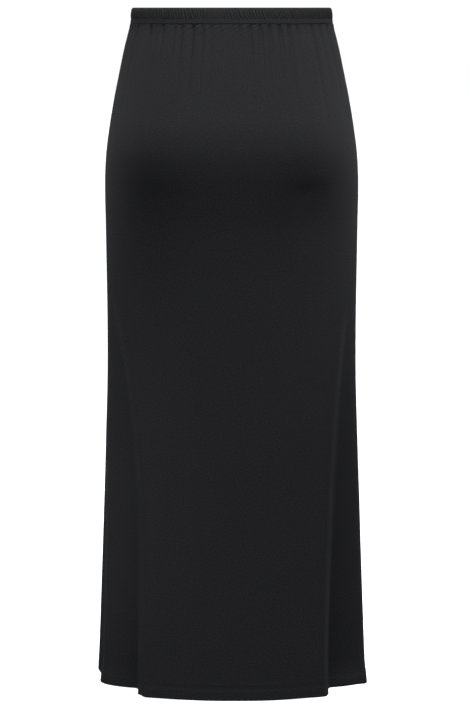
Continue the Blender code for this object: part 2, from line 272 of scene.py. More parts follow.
SECTIONS = (
    Section(TOP_EDGE, 0.1503, 0.1196, 0.1150, 0.027, 2.05, 2.05),
    Section(0.017, 0.1535, 0.1248, 0.1180, 0.027, 2.05, 2.05),
    Section(0.047, 0.1612, 0.1312, 0.1235, 0.028, 2.12, 2.08),
    Section(0.092, 0.1708, 0.1411, 0.1295, 0.028, 2.22, 2.10),
    Section(0.137, 0.1797, 0.1510, 0.1340, 0.028, 2.32, 2.12),
    Section(0.175, 0.1858, 0.1588, 0.1368, 0.028, 2.40, 2.14),
    Section(0.205, 0.1897, 0.1612, 0.1380, 0.028, 2.42, 2.15),
    Section(0.235, 0.1918, 0.1598, 0.1382, 0.028, 2.34, 2.15),
    Section(0.270, 0.1924, 0.1560, 0.1380, 0.028, 2.22, 2.15),
    Section(0.310, 0.1918, 0.1519, 0.1375, 0.028, 2.14, 2.15),
    Section(0.365, 0.1911, 0.1498, 0.1370, 0.028, 2.12, 2.16),
    Section(0.457, 0.1899, 0.1488, 0.1372, 0.028, 2.24, 2.20),
    Section(0.550, 0.1902, 0.1487, 0.1378, 0.029, 2.42, 2.26),
    Section(0.643, 0.1931, 0.1497, 0.1388, 0.030, 2.54, 2.32),
    Section(0.783, 0.1985, 0.1508, 0.1405, 0.032, 2.62, 2.38),
    Section(0.925, 0.2042, 0.1526, 0.1425, 0.035, 2.64, 2.42),
    Section(HEM_EDGE, 0.2082, 0.1542, 0.1440, 0.037, 2.64, 2.44),
)

# The last column of each fold is its painted highlight along the crest.
FOLDS = (
    Fold(BACK, RIGHT, 0.420, 0.940, 0.712, 0.46, 0.003, 0.005, 0.080, 1.1, 1.7, 0.46),
    Fold(BACK, LEFT, 0.400, 1.000, 0.688, 0.40, 0.003, 0.004, 0.115, 1.6, 3.0, 0.20),
    Fold(FRONT, RIGHT, 0.480, 0.740, 0.560, 0.32, 0.004, 0.005, 0.100, 1.1, 2.0, 0.20),
    Fold(FRONT, LEFT, 0.560, 0.890, 0.790, 0.34, 0.003, 0.004, 0.080, 1.1, 2.0, 0.20),
    Fold(FRONT, LEFT, 0.500, 0.360, 0.300, 0.05, 0.003, 0.000, 0.160, 1.1, 2.0, 0.00),
)

GATHERS = tuple(
    Gather(face, *row)
    for face, rows in (
        (BACK, (
            (-0.900, 0.0026, 0.0044, 0.150), (-0.775, 0.0042, 0.0038, 0.085),
            (-0.715, 0.0016, 0.0030, 0.100), (-0.655, 0.0031, 0.0036, 0.080),
            (-0.545, 0.0018, 0.0032, 0.065), (-0.475, 0.0030, 0.0034, 0.080),
            (-0.370, 0.0032, 0.0034, 0.120), (-0.275, 0.0025, 0.0034, 0.120),
            (-0.195, 0.0018, 0.0032, 0.085), (-0.110, 0.0010, 0.0030, 0.050),
            (0.080, 0.0024, 0.0034, 0.100), (0.175, 0.0031, 0.0034, 0.150),
            (0.275, 0.0034, 0.0036, 0.120), (0.362, 0.0034, 0.0034, 0.145),
            (0.465, 0.0040, 0.0036, 0.160), (0.548, 0.0040, 0.0036, 0.150),
            (0.630, 0.0033, 0.0038, 0.105), (0.705, 0.0016, 0.0032, 0.070),
            (0.772, 0.0042, 0.0042, 0.170), (0.850, 0.0032, 0.0040, 0.120),
            (0.925, 0.0030, 0.0046, 0.150),
        )),
        (FRONT, (
            (-0.900, 0.0019, 0.0056, 0.090), (-0.790, 0.0016, 0.0052, 0.070),
            (-0.690, 0.0022, 0.0046, 0.105), (-0.560, 0.0017, 0.0044, 0.060),
            (-0.455, 0.0021, 0.0044, 0.085), (-0.330, 0.0016, 0.0042, 0.050),
            (-0.235, 0.0020, 0.0042, 0.075), (-0.110, 0.0017, 0.0042, 0.060),
            (0.055, 0.0019, 0.0044, 0.090), (0.165, 0.0015, 0.0040, 0.045),
            (0.290, 0.0022, 0.0044, 0.095), (0.420, 0.0017, 0.0044, 0.065),
            (0.545, 0.0021, 0.0044, 0.100), (0.680, 0.0017, 0.0048, 0.055),
            (0.810, 0.0022, 0.0052, 0.085),
        )),
    )
    for row in rows
)

CREASES = (
    Crease(BACK, -0.60, -0.55, 0.240, 0.262, 0.340, 0.0019, 0.036),
    Crease(BACK, 0.61, 0.57, 0.236, 0.262, 0.370, 0.0033, 0.034),
    Crease(BACK, -0.29, -0.34, 0.440, 0.640, 1.500, 0.0026, 0.024),
    Crease(BACK, -0.14, -0.12, 0.480, 0.680, 0.900, 0.0007, 0.020),
    Crease(BACK, 0.30, 0.27, 0.350, 0.560, 0.800, 0.0008, 0.018),
    Crease(BACK, 0.55, 0.52, 0.560, 0.800, 1.100, 0.0009, 0.014),
    Crease(BACK, -0.965, -0.925, 0.840, 0.900, 1.000, 0.0011, 0.0045),
    Crease(BACK, 0.865, 0.850, 0.955, 0.990, 1.030, 0.0009, 0.0050),
    Crease(FRONT, -0.62, -0.55, 0.180, 0.360, 0.620, 0.0010, 0.018),
    Crease(FRONT, 0.12, 0.10, 0.300, 0.560, 0.860, 0.0008, 0.020),
    Crease(FRONT, 0.40, 0.34, 0.220, 0.380, 0.640, 0.0009, 0.017),
)

SEAM_DIPS = (
    SeamDip(LEFT, 0.620, 0.0066, 0.016, 0.0014),
    SeamDip(RIGHT, 0.740, 0.0020, 0.010, 0.0009),
)

HEM_LIFTS = (
    HemLift(BACK, 0.000, -0.0014, 0.0004, 0.085),
    HemLift(BACK, 0.880, -0.0016, 0.0046, 0.060),
    HemLift(BACK, 0.995, -0.0044, 0.0006, 0.038),
    HemLift(BACK, -0.672, 0.0028, 0.0000, 0.009),
    HemLift(BACK, 0.700, 0.0020, 0.0000, 0.009),
    HemLift(BACK, -0.860, 0.0000, 0.0052, 0.045),
    HemLift(FRONT, -0.985, 0.0110, 0.0000, 0.046),
    HemLift(FRONT, 0.550, 0.0025, 0.0000, 0.007),
    HemLift(FRONT, -0.300, -0.0015, 0.0010, 0.090),
)


def smooth_step(value: Array | float) -> Array | float:
    """Rises smoothly from 0 to 1 as the value does."""
    part = np.clip(value, 0.0, 1.0)
    return part * part * (3 - 2 * part)


def hump(distance: Array, width: float) -> Array:
    """A soft round hump, 1 at its middle."""
    return np.exp(-((distance / width) ** 2))


def curve_through(places: Array, values: Array, place: float) -> float:
    """Reads the smooth curve through a table's values.

    Args:
        places: Where the table gives values, in rising order.
        values: The values there.
        place: Where to read the curve.

    Returns:
        The curve's value at the place.
    """
    slopes = np.gradient(values, places)
    step = int(np.clip(np.searchsorted(places, place) - 1, 0, len(places) - 2))
    gap = places[step + 1] - places[step]
    part = (place - places[step]) / gap
    rise = values[step + 1] - values[step]
    bend = 3 * part**2 - 2 * part**3
    start_pull = part * (1 - part) ** 2 * slopes[step] * gap
    end_pull = part**2 * (part - 1) * slopes[step + 1] * gap
    return float(values[step] + bend * rise + start_pull + end_pull)


def waves(place: Array | float, lengths: Sequence[float], start: float) -> Array | float:
    """Averages sine waves of several lengths, an uneven ripple between about -1 and 1."""
    turns = (2 * math.pi * place / length + start * (n + 1) for n, length in enumerate(lengths))
    return sum(np.sin(turn) for turn in turns) / len(lengths)


class Outline:
    """The skirt's outer outline at one drop, from the right side seam round the front."""

    def __init__(self, drop: float, gathered: bool = True) -> None:
        """Lays the outline.

        Args:
            drop: How far below the origin.
            gathered: Whether the panels' gathers, creases and seam dips are pressed in.
        """
        self.drop = drop
        columns = np.array([astuple(section) for section in SECTIONS]).T
        read = (curve_through(columns[0], column, drop) for column in columns)
        self.section = Section(*read)
        self.seam_turn = self._turn_behind(self.section.seam)
        first = -self._turn_behind(RIGHT_SEAM_SHARE * self.section.seam)
        self.turn = np.linspace(first, first + 2 * math.pi, OUTLINE_POINTS)
        self.behind = np.sin(self.turn) < 0
        self._lay_plain_curve()
        self._lay_folds()
        self._soften()
        self._measure()
        if gathered:
            self._press(self._drawn_in())
            self._measure()
        self._lift_hem()

    def _turn_behind(self, distance: float) -> float:
        """Turn from the middle to a point of the back that lies a distance behind it."""
        return math.asin((distance / self.section.back) ** (self.section.back_square / 2))

    def _lay_plain_curve(self) -> None:
        """Lays the smooth curve that the section's sizes give."""
        cosine, sine = np.cos(self.turn), np.sin(self.turn)
        square = np.where(self.behind, self.section.back_square, self.section.front_square)
        depth = np.where(self.behind, self.section.back, self.section.front)
        self.x = self.section.half_width * np.sign(cosine) * np.abs(cosine) ** (2 / square)
        self.y = depth * np.sign(sine) * np.abs(sine) ** (2 / square)

    def on_face(self, face: Face) -> Array:
        """Marks the points on one face."""
        return self.behind if face is BACK else ~self.behind

    def _lay_folds(self) -> None:
        """Draws the cloth outside each large fold in, pushes the fold's crest out, and lays the
        painted highlight along the crest.
        """
        share = self.x / self.section.half_width
        outward = np.where(self.behind, -1.0, 1.0)
        kept = np.ones_like(self.y)
        crest = np.zeros_like(self.y)
        tuck = np.zeros_like(self.x)
        self.painted_highlight = np.zeros_like(self.x)
        for fold in FOLDS:
            reach, across = fold.reach(self.drop), fold.across(self.drop)
            beyond = (share - across) * fold.side.value
            face = self.on_face(fold.face)
            step = FOLD_STEP + fold.spread * (1 - reach)
            stepped = smooth_step(beyond / step + 0.5)
            kept -= np.where(face, fold.recess * reach * stepped, 0.0)
            rounding = hump(beyond + CREST_INSIDE_STEP, CREST_WIDTH)
            crest += np.where(face, fold.crest * fold.crest_reach(self.drop) * rounding, 0.0)
            tucked = fold.side.value * fold.tuck * reach**3 * hump(beyond, TUCK_WIDTH)
            tuck += np.where(face, stepped * tucked, 0.0)
            # Painted highlight: a pale line along the crest, where light would catch it.
            line = hump(beyond + HIGHLIGHT_INSIDE_STEP, HIGHLIGHT_WIDTH)
            coming = smooth_step((self.drop - fold.begins) / HIGHLIGHT_RISE)
            self.painted_highlight += np.where(face, fold.painted_highlight * coming * line, 0.0)
        self.y = self.y * kept + outward * crest
        self.x = self.x - tuck

    def _soften(self) -> None:
        """Spaces the points evenly and rounds the folds' corners along the cloth."""
        self._measure()
        even = np.linspace(0.0, self.way[-1], OUTLINE_POINTS)
        self.x, self.y, self.turn, self.painted_highlight = (
            np.interp(even, self.way, values)
            for values in (self.x, self.y, self.turn, self.painted_highlight)
        )
        self.behind = np.sin(self.turn) < 0
        step = even[1]
        near = int(3 * FOLD_ROUNDING / step)
        weights = hump(np.arange(-near, near + 1) * step, FOLD_ROUNDING * math.sqrt(2))
        weights /= weights.sum()
        for values in (self.x, self.y):
            ring = np.concatenate([values[-near - 1 : -1], values, values[1 : near + 1]])
            values[:] = np.convolve(ring, weights, mode="valid")

    def _measure(self) -> None:
        """Measures the way round and the outward direction at each point."""
        step = np.hypot(np.diff(self.x), np.diff(self.y))
        self.way = np.concatenate([[0.0], np.cumsum(step)])
        along_x, along_y = (np.gradient(values, self.way) for values in (self.x, self.y))
        for along in (along_x, along_y):
            along[0] = along[-1] = (along[0] + along[-1]) / 2
        size = np.hypot(along_x, along_y)
        self.out_x, self.out_y = along_y / size, -along_x / size

    def _press(self, depth: Array) -> None:
        """Moves each point in by its depth."""
        self.x = self.x - self.out_x * depth
        self.y = self.y - self.out_y * depth

    def way_across(self, face: Face, across: float) -> float:
        """Way round to a place across a face, given as a share of the half-width.

        Args:
            face: The face.
            across: The place.

        Returns:
            The way round, in metres.
        """
        points = np.flatnonzero(self.on_face(face))
        order = points[np.argsort(self.x[points])]
        x = across * self.section.half_width
        return float(np.interp(x, self.x[order], self.way[order]))

    def seam_way(self, side: Side) -> float:
        """Way round to a side seam, where the right seam is also the outline's start.

        Args:
            side: The seam's side.

        Returns:
            The way round, in metres.
        """
        if side is RIGHT:
            return 0.0
        return float(np.interp(math.pi + self.seam_turn, self.turn, self.way))

    def from_seam(self, side: Side) -> Array:
        """Distance of each point from a side seam, the shorter way round."""
        distance = np.abs(self.way - self.seam_way(side))
        return np.minimum(distance, self.way[-1] - distance)

    def _drawn_in(self) -> Array:
        """How far the gathers, the creases and the side seams' dips draw the cloth in.

        Returns:
            A depth for each point. Beside a gather it is negative, for a soft swell.
        """
        depth = np.zeros_like(self.x)
        for gather in GATHERS:
            reach = gather.reach(self.drop)
            if reach > 0:
                distance = self.way - self.way_across(gather.face, gather.across)
                trough = hump(distance, gather.width)
                swell = hump(distance, 2 * gather.width) - trough
                depth += gather.depth * reach * (trough - GATHER_SWELL * swell)
        for crease in CREASES:
            reach = crease.reach(self.drop)
            if reach > 0:
                place = self.way_across(crease.face, crease.across(self.drop))
                depth += crease.depth * reach * hump(self.way - place, crease.width)
        for dip in SEAM_DIPS:
            near = hump(self.from_seam(dip.side), dip.width)
            depth += dip.depth * dip.reach(self.drop) * near
        return depth

    def _lift_hem(self) -> None:
        """Raises the hem's higher parts, and lets its flared parts stand out."""
        self.lift = np.zeros_like(self.x)
        flare = np.zeros_like(self.x)
        for part in HEM_LIFTS:
            reach = part.reach(self.drop)
            if reach > 0:
                distance = np.abs(self.way - self.way_across(part.face, part.across))
                distance = np.minimum(distance, self.way[-1] - distance)
                near = np.exp(-((distance / part.width) ** 4))
                self.lift += part.lift * reach * near
                flare += part.flare * reach**3 * near
        self._press(-flare)

    def points(self, ways: Array, stand_out: Array | float) -> Array:
        """Points at some ways round, moved out from the outline.

        Args:
            ways: Ways round, in metres.
            stand_out: How far outside the outline each point lies.

        Returns:
            An array with a row of x, y and z for each point.
        """
        x, y, out_x, out_y, lift = (
            np.interp(ways, self.way, values)
            for values in (self.x, self.y, self.out_x, self.out_y, self.lift)
        )
        return np.stack([x + out_x * stand_out, y + out_y * stand_out, lift - self.drop], axis=-1)


@dataclass(frozen=True)
class Puckers:
    """Small uneven ripples where stitches draw the cloth up."""

    height: float
    lengths: tuple[float, ...]
    fade: float
    start: float

    def across_seam(self, way: Array, from_seam: float) -> Array:
        """How far the ripples stand out round the skirt, in a row this far from the seam."""
        share = math.exp(-abs(from_seam) / self.fade)
        return self.height * share * waves(way, self.lengths, self.start)


def spaced_rows(spacing: Sequence[tuple[float, float]]) -> Array:
    """Drops of a panel's rows, at distances that change smoothly down the panel.

    Args:
        spacing: Some drops, in rising order, and the distance wanted at each.

    Returns:
        The rows' drops, from the first given one to the last.
    """
    given, wanted = np.array(spacing).T
    drops = np.linspace(given[0], given[-1], SPACING_POINTS)
    steps = np.interp(drops, given, wanted)
    count = np.concatenate([[0.0], np.cumsum(np.diff(drops) / steps[1:])])
    rows = np.linspace(0, count[-1], int(round(count[-1])) + 1)
    return np.interp(rows, count, drops)


def make_current(piece: Object) -> None:
    """Selects one piece alone and makes it the active one.

    Args:
        piece: The piece.
    """
    bpy.ops.object.select_all(action="DESELECT")
    piece.select_set(True)
    bpy.context.view_layer.objects.active = piece


def link_object(name: str, data: ID) -> Object:
    """Adds an object that holds some data, such as a lamp, to the scene.

    Args:
        name: The object's name.
        data: What it holds.

    Returns:
        The object.
    """
    holder = bpy.data.objects.new(name, data)
    bpy.context.scene.collection.objects.link(holder)
    return holder


def name_piece(name: str) -> Object:
    """Names the primitive that was just added, and its mesh.

    Args:
        name: The name.

    Returns:
        The primitive.
    """
    piece = bpy.context.object
    piece.name = name
    piece.data.name = name
    return piece


def finish_piece(piece: Object, material: Material, angle: float) -> None:
    """Gives a piece its material and smooth shading.

    Args:
        piece: The piece.
        material: Its material.
        angle: Edges sharper than this, in degrees, stay sharp.
    """
    piece.data.materials.append(material)
    make_current(piece)
    bpy.ops.object.shade_smooth_by_angle(angle=math.radians(angle))


def lay_grid(name: str, points: Array, cloth_uv: Array) -> Object:
    """Lays a grid primitive's corners on a cloth's points.

    Args:
        name: The piece's name.
        points: Rows of points, upwards, each row going the outline's way round.
        cloth_uv: For each point, its place on the flat cloth in metres.

    Returns:
        The cloth piece, one layer thick.
    """
    rows, columns = points.shape[:2]
    bpy.ops.object.select_all(action="DESELECT")
    bpy.ops.mesh.primitive_grid_add(x_subdivisions=columns - 1, y_subdivisions=rows - 1, size=1)
    piece = name_piece(name)
    mesh = piece.data
    mesh.vertices.foreach_set("co", points.reshape(-1).astype(np.float32))
    corners = np.empty(len(mesh.loops), dtype=np.int32)
    mesh.loops.foreach_get("vertex_index", corners)
    layer = mesh.uv_layers[0]
    layer.name = "cloth"
    layer.data.foreach_set("uv", cloth_uv.reshape(-1, 2)[corners].reshape(-1).astype(np.float32))
    mesh.update()
    return piece


def mark_painted_highlight(piece: Object, painted_highlight: Array) -> None:
    """Marks the painted highlight at each point of a cloth piece, a paler line along the folds' crests
    standing in for caught light.
    """
    marks = piece.data.attributes.new("painted_highlight", "FLOAT", "POINT")
    marks.data.foreach_set("value", painted_highlight.reshape(-1).astype(np.float32))


@dataclass(frozen=True)
class ThreadRow:
    """A row of stitches that runs round the skirt."""

    name: str
    drop: float
    stand_out: float
    stitch_length: float
    gap: float
    thread: float
    gathered: bool


@dataclass
class Panel:
    """One panel: a sheet of jersey from the waistband's seam to its turned hem."""

    face: Face
    flat_width: float
    flat_top: float
    thickness: float = 0.0007
    columns: int = 276
    fold_crowding: float = 2.2
    fold_crowding_width: float = 0.030
    hem_radius: float = 0.0008
    edge_radius: float = 0.0003
    allowance: float = 0.006
    flat_length: float = 1.045
    spacing: tuple[tuple[float, float], ...] = (
        (BAND_EDGE + 0.0004, 0.0013),
        (0.033, 0.0024),
        (0.110, 0.0045),
        (0.180, 0.0070),
        (0.360, 0.0085),
        (0.700, 0.0105),
        (0.968, 0.0095),
        (0.992, 0.0020),
        (1.010, 0.0016),
        (HEM_EDGE - 2 * hem_radius, 0.0016),
    )
    waist_puckers: Puckers = Puckers(0.0009, (0.0053, 0.0071, 0.0093, 0.0137), 0.020, 1.3)
    hem_puckers: Puckers = Puckers(0.00028, (0.0061, 0.0089, 0.0147), 0.006, 2.1)
    behind_band: tuple[tuple[float, float], ...] = (
        (BAND_EDGE + 0.0001, 0.0012),
        (BAND_EDGE - 0.0008, 0.0026),
        (BAND_EDGE - 0.0045, 0.0031),
    )
    piece: Object | None = field(default=None, init=False)

    def _row_path(self) -> list[tuple[float, float]]:
        """Plans the rows, from the turned hem's inner edge up to the waist seam.

        Returns:
            Each row's drop, and how far inside the outline it lies.
        """
        inner = 2 * self.hem_radius
        turn_up = np.linspace(HEM_EDGE - HEM_TURN_UP, HEM_EDGE - inner, 7)
        path = [(drop, inner) for drop in turn_up]
        for turn in np.linspace(0.15, 0.85, 5) * math.pi:
            drop = HEM_EDGE - self.hem_radius + self.hem_radius * math.sin(turn)
            path.append((drop, self.hem_radius * (1 + math.cos(turn))))
        path += [(float(drop), 0.0) for drop in spaced_rows(self.spacing)[::-1]]
        top = self.spacing[0][0]
        for turn in np.linspace(0.2, 1.0, 4) * math.pi / 2:
            drop = top - self.edge_radius * math.sin(turn)
            path.append((drop, self.edge_radius * (1 - math.cos(turn))))
        return path + list(self.behind_band)

    def _span(self, outline: Outline) -> tuple[float, float]:
        """Ways round to the panel's two side edges.

        Args:
            outline: The outline.

        Returns:
            Both, in metres.
        """
        left = outline.seam_way(LEFT)
        if self.face is FRONT:
            return SEAM_GAP / 2, left - SEAM_GAP / 2
        return left + SEAM_GAP / 2, outline.way[-1] - SEAM_GAP / 2

    def _ways(self, outline: Outline) -> Array:
        """Ways round to the columns, which crowd where folds bend the cloth.

        Args:
            outline: The outline at one drop.

        Returns:
            The columns' ways round.
        """
        start, end = self._span(outline)
        start, end = start + self.edge_radius, end - self.edge_radius
        way = np.linspace(start, end, OUTLINE_POINTS)
        crowding = np.ones_like(way)
        for fold in FOLDS:
            if fold.face is self.face:
                centre = outline.way_across(self.face, fold.across(outline.drop))
                near = hump(way - centre, self.fold_crowding_width)
                crowding += self.fold_crowding * fold.reach(outline.drop) * near
        total = np.concatenate([[0.0], np.cumsum((crowding[1:] + crowding[:-1]) / 2)])
        return np.interp(np.linspace(0, total[-1], self.columns), total, way)

    def _details(self, outline: Outline, ways: Array, drop: float) -> Array:
        """Puckers at the waist seam, the side seams and the hem.

        Args:
            outline: The outline at this drop.
            ways: Ways round to the columns.
            drop: How far below the origin.

        Returns:
            How far each column stands out.
        """
        out = self.waist_puckers.across_seam(ways, drop - BAND_EDGE)
        below = drop - sum(HEM_STITCHES) / 2
        out = out + self.hem_puckers.across_seam(ways, below)
        for stitches in HEM_STITCHES:
            out = out - HEM_GROOVE * hump(drop - stitches, HEM_GROOVE_WIDTH)
        out = out + HEM_THICKER * smooth_step(below / HEM_THICKER_OVER)
        out = out + HEM_RIDGE * hump(below + HEM_RIDGE_ABOVE, HEM_RIDGE_WIDTH)
        for dip in SEAM_DIPS:
            distance = np.interp(ways, outline.way, outline.from_seam(dip.side))
            ripple = waves(drop, SEAM_RIPPLES, SEAM_RIPPLE_START * dip.side.value)
            steady = SEAM_RIPPLE_LEAST + (1 - SEAM_RIPPLE_LEAST) * dip.reach(drop)
            out = out + dip.puckers * steady * ripple * np.exp(-distance / SEAM_RIPPLE_FADE)
            out = out - SEAM_SUNK * np.exp(-distance / SEAM_SUNK_WIDTH)
        return out

    def _row(self, drop: float, inset: float) -> tuple[Array, Array, Array]:
        """Points, flat places and painted highlight of one row.

        Args:
            drop: How far below the origin.
            inset: How far inside the outline the row lies.

        Returns:
            The row's points, their ways round from the panel's middle, and their painted highlight.
        """
        outline = Outline(drop)
        ways = self._ways(outline)
        out = self._details(outline, ways, drop) - inset
        turned = max(0.0, 1 - inset / (2 * self.hem_radius)) if drop > HEM_EDGE / 2 else 1.0
        start, end = self._span(outline)
        turns = np.linspace(0.25, 1.0, 4) * math.pi / 2
        sideways = self.edge_radius * (1 - np.sin(turns))
        inward = self.edge_radius * (1 - np.cos(turns))
        sideways = np.append(sideways, 0.0)
        inward = np.append(inward, self.allowance) * turned
        all_ways = np.concatenate([(start + sideways)[::-1], ways, end - sideways])
        all_out = np.concatenate([(out[0] - inward)[::-1], out, out[-1] - inward])
        flat = np.concatenate([(start - inward)[::-1], ways, end + inward]) - (start + end) / 2
        painted_highlight = np.interp(all_ways, outline.way, outline.painted_highlight)
        return outline.points(all_ways, all_out), flat, painted_highlight

    def build(self) -> list[Object]:
        """Lays the sheet, and gives it its thickness.

        Returns:
            A list of the panel's one piece.
        """
        path = self._row_path()
        rows = [self._row(drop, inset) for drop, inset in path]
        points = np.array([row[0] for row in rows])
        fall = np.array([[drop, inset] for drop, inset in path])
        climbed = np.concatenate([[0.0], np.cumsum(np.hypot(*np.diff(fall, axis=0).T))])
        across = np.array([row[1] for row in rows])
        uv = np.stack([across, np.broadcast_to(climbed[:, None], across.shape)], axis=-1)
        self.piece = lay_grid(self.face.value + "_cloth", points, uv)
        mark_painted_highlight(self.piece, np.array([row[2] for row in rows]))
        make_current(self.piece)
        wall = self.piece.modifiers.new("cloth", "SOLIDIFY")
        wall.thickness = self.thickness
        wall.offset = -1.0
        bpy.ops.object.modifier_apply(modifier=wall.name)
        return [self.piece]

    def dress(self, material: Material) -> None:
        """Args:
            material: The jersey.
        """
        finish_piece(self.piece, material, CLOTH_ANGLE)
        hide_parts(self.face.value + "_panel")
        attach(self.piece, "root")


@dataclass
class Waistband:
    """The folded strip over flat elastic: shirred above, smooth along its lower edge.

    A row of the profile has a drop, how far the cloth stands out, and the share of the ribs'
    height there. A wave of the pitch has its size, its pace and its start.
    """

    ribs: int = 198
    columns_per_rib: int = 8
    rib_height: float = 0.0016
    rib_sharpness: float = 0.75
    rib_middle: float = 0.66
    rib_unevenness: float = 0.38
    pitch_waves: tuple[Triple, ...] = ((0.26, 2.3, 0.0), (0.16, 0.71, 1.0))
    lean: float = 0.24
    lean_swing: float = 0.12
    lean_swing_start: float = 0.90
    lean_waver: float = 0.06
    ripple: float = 0.0006
    sway: float = 0.00025
    join_across: float = -0.16
    join_width: float = 0.014
    join_share: float = 0.50
    flat_width: float = 1.10
    profile: tuple[Triple, ...] = (
        (TOP_EDGE, -0.0024, 0.15), (TOP_EDGE + 0.0004, -0.0014, 0.45),
        (TOP_EDGE + 0.0013, -0.0005, 0.80), (TOP_EDGE + 0.0030, 0.0000, 1.00),
        (-0.0042, 0.0003, 1.00), (-0.0020, 0.0004, 1.00), (0.0000, 0.0004, 1.00),
        (0.0022, 0.0004, 1.00), (0.0040, 0.0003, 0.92), (ELASTIC_EDGE - 0.0020, 0.0002, 0.76),
        (ELASTIC_EDGE - 0.0009, 0.0001, 0.54), (ELASTIC_EDGE, -0.0001, 0.36),
        (ELASTIC_EDGE + 0.0008, 0.0000, 0.24), (ELASTIC_EDGE + 0.0016, 0.0001, 0.15),
        (ELASTIC_EDGE + 0.0028, 0.0001, 0.08), (0.0120, 0.0001, 0.06),
        (BAND_EDGE - 0.0012, 0.0000, 0.06), (BAND_EDGE - 0.0005, -0.0001, 0.05),
        (BAND_EDGE - 0.0001, -0.0004, 0.04), (BAND_EDGE, -0.0009, 0.02),
        (BAND_EDGE - 0.0004, -0.0017, -0.02), (BAND_EDGE - 0.0025, -0.0022, -0.08),
        (ELASTIC_EDGE + 0.0015, -0.0021, -0.15), (ELASTIC_EDGE, -0.0018, -0.30),
        (ELASTIC_EDGE - 0.0030, -0.0026, -0.80), (-0.0020, -0.0027, -0.80),
        (TOP_EDGE + 0.0022, -0.0025, -0.70), (TOP_EDGE + 0.0005, -0.0019, -0.30),
    )
    piece: Object | None = field(default=None, init=False)

    def _rib_places(self) -> Array:
        """Places of the ribs' grooves round the band, as uneven shares that fill the whole way.

        Returns:
            The places, from 0 to 1.
        """
        number = np.arange(self.ribs)
        pitch = 1 + sum(size * np.sin(pace * number + start) for size, pace, start in self.pitch_waves)
        places = np.concatenate([[0.0], np.cumsum(pitch)])
        return places / places[-1]

    def _rib_height(self, outline: Outline, share: Array) -> Array:
        """Height of the ribs round the band at one drop.

        Args:
            outline: The outline at this drop.
            share: Places round the band, as shares of the whole way.

        Returns:
            The cloth's height over the band's own surface.
        """
        length = outline.way[-1]
        join = outline.way_across(BACK, self.join_across)
        near_join = hump(share * length - join, self.join_width)
        swing = self.lean_swing * np.cos(2 * math.pi * (share - self.lean_swing_start))
        lean = self.lean + swing - self.join_share * near_join
        lean = lean + self.lean_waver * waves(share, (1 / 13, 1 / 8), 0.4)
        ripple = self.ripple * waves(share, (1 / 83, 1 / 53), 2.2 + 570 * outline.drop)
        leaned = np.mod(share + (ripple - lean * outline.drop) / length, 1.0)
        number = np.interp(leaned, self._rib_places(), np.arange(self.ribs + 1))
        crest = np.abs(np.sin(math.pi * number)) ** self.rib_sharpness - self.rib_middle
        rib = np.floor(number)
        uneven = 1 + self.rib_unevenness * np.sin(2.3 * rib) * np.sin(0.7 * rib + 0.4)
        return self.rib_height * uneven * (1 - self.join_share * near_join) * crest

    def build(self) -> list[Object]:
        """Lays the ribbed strip as a ring, folded over at its top.

        Returns:
            A list of the waistband's one piece.
        """
        share = np.linspace(0.0, 1.0, self.ribs * self.columns_per_rib + 1)
        sway = self.sway * waves(share, (1 / 25, 1 / 15, 1 / 9), 0.9)
        rings, drops = [], []
        for drop, stand_out, ribs in self.profile[::-1] + self.profile[-1:]:
            outline = Outline(drop, gathered=False)
            height = self._rib_height(outline, share) * ribs
            ring = outline.points(share * outline.way[-1], stand_out + height)
            ring[:, 2] -= sway * (drop > 0.5 * ELASTIC_EDGE)
            ring[-1] = ring[0]
            rings.append(ring)
            drops.append(np.full_like(share, drop))
        uv = np.stack([np.tile(share * self.flat_width, (len(rings), 1)), drops], axis=-1)
        self.piece = lay_grid("waistband_cloth", np.array(rings), uv)
        bpy.ops.object.mode_set(mode="EDIT")
        bpy.ops.mesh.select_all(action="SELECT")
        bpy.ops.mesh.remove_doubles(threshold=1e-6)
        bpy.ops.object.mode_set(mode="OBJECT")
        return [self.piece]

    def dress(self, material: Material) -> None:
        """Args:
            material: The jersey.
        """
        finish_piece(self.piece, material, CLOTH_ANGLE)
        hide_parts("waistband")
        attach(self.piece, "root")


